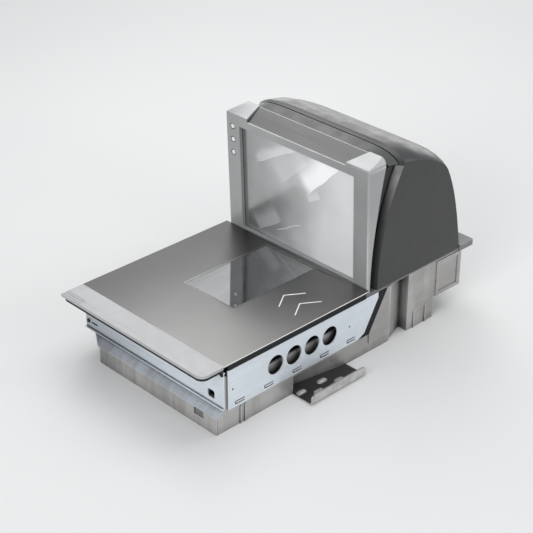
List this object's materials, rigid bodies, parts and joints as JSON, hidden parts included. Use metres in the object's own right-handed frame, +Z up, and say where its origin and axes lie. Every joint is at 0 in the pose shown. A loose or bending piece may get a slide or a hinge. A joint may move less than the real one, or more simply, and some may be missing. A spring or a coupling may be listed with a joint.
{
  "type": "flatbed barcode scanner",
  "caption": "Checkout barcode scanner with a lift-off weighing deck and flat window, a leaning upright window tower, a dark hood and a cast drop-in base.",
  "frame": {"origin": "middle of the operator's edge of the deck, on the deck's top surface", "axes": "+Z up, +Y away from the operator towards the tower, +X to the operator's right"},
  "size_m": [0.327, 0.54, 0.2961],
  "materials": {
    "cast_alloy": "rough as-cast surface, warm grey",
    "zinc_sheet": "zinc-plated sheet, pale blue grey, satin",
    "deck_steel": "stainless sheet with a fine grain along its width",
    "light_trim": "fine moulded texture, pale grey",
    "bezel_grey": "satin metallic grey, lighter on the shoulders",
    "inlay_dark": "dark brushed strip, long grain",
    "hood_dark": "fine moulded texture, charcoal",
    "black_rubber": "matt black",
    "window_glass": "hard clear coated glass",
    "frame_steel": "bright satin edge",
    "bracket_steel": "cold-rolled steel, worn edges",
    "fastener": "plated steel",
    "sheet_black": "black powder coat",
    "load_cell_alloy": "machined, anodised clear",
    "cast_black": "black painted casting",
    "circuit_board": "green solder mask with copper tracks",
    "component_black": "moulded packages and connector shells",
    "mirror_coat": "front-surface coating",
    "brass_mount": "turned, satin",
    "lamp_lens": "clear light pipe",
    "button_cap": "pale grey cap",
    "button_ring": "dark guide ring",
    "vial": "clear yellow-green vial",
    "ribbon": "grey ribbon jacket",
    "shelf_grey": "textured dark grey paint"
  },
  "bodies": {
    "base": {"base_casting": "cast_alloy", "left_side_panel": "zinc_sheet", "right_side_panel": "zinc_sheet", "front_panel": "zinc_sheet", "panel_edge_seals": "black_rubber", "panel_screws": "fastener", "corner_plugs": "black_rubber", "mounting_bracket": "bracket_steel", "bracket_screws": "fastener", "optics_cover": "sheet_black", "inner_window": "window_glass", "inner_window_seal": "black_rubber", "bubble_level": "vial", "load_cell": "load_cell_alloy", "load_cell_screws": "fastener", "main_board": "circuit_board", "board_components": "component_black", "scale_board": "circuit_board", "speaker": "component_black", "sensor_cable": "ribbon", "interface_ports": "component_black", "rear_deck_plate": "shelf_grey", "laser_module": "brass_mount", "spinner_motor": "component_black", "optics_chassis": "component_black", "lower_mirrors": "mirror_coat", "tower_mirrors": "mirror_coat", "collector_mirror": "mirror_coat", "detector_board": "circuit_board", "tower_frame": "sheet_black", "bezel": "bezel_grey", "bezel_inlay": "inlay_dark", "vertical_glass": "window_glass", "vertical_glass_seal": "black_rubber", "button_board": "circuit_board", "button_collars": "button_ring", "status_lamp": "lamp_lens", "hood_ring": "hood_dark", "hood_shell": "hood_dark", "hood_screws": "fastener"},
    "weigh_frame": {"weigh_frame": "cast_black", "platter_pads": "black_rubber"},
    "deck": {"deck_plate": "deck_steel", "deck_trim": "light_trim", "deck_gasket": "black_rubber", "window_frame": "frame_steel", "deck_glass": "window_glass"},
    "volume_button": {"volume_button": "button_cap"},
    "zero_button": {"zero_button": "button_cap"},
    "mirror_polygon": {"mirror_polygon": "mirror_coat"}
  },
  "joints": [
    {"name": "weigh_travel", "type": "slide", "parent": "base", "child": "weigh_frame", "axis": [0, 0, 1], "range_m": [-0.0003, 0], "deforming": ["load_cell"]},
    {"name": "deck_lift", "type": "slide", "parent": "weigh_frame", "child": "deck", "axis": [0, 0, 1], "range_m": [0, 0.04]},
    {"name": "volume_press", "type": "slide", "parent": "base", "child": "volume_button", "axis": [0, 0.9995, 0.0332], "range_m": [0, 0.0008]},
    {"name": "zero_press", "type": "slide", "parent": "base", "child": "zero_button", "axis": [0, 0.9995, 0.0332], "range_m": [0, 0.0008]},
    {"name": "polygon_spin", "type": "hinge", "parent": "base", "child": "mirror_polygon", "pos_m": [0.02, 0.388, -0.062], "axis": [0, 0, 1], "continuous": true}
  ]
}
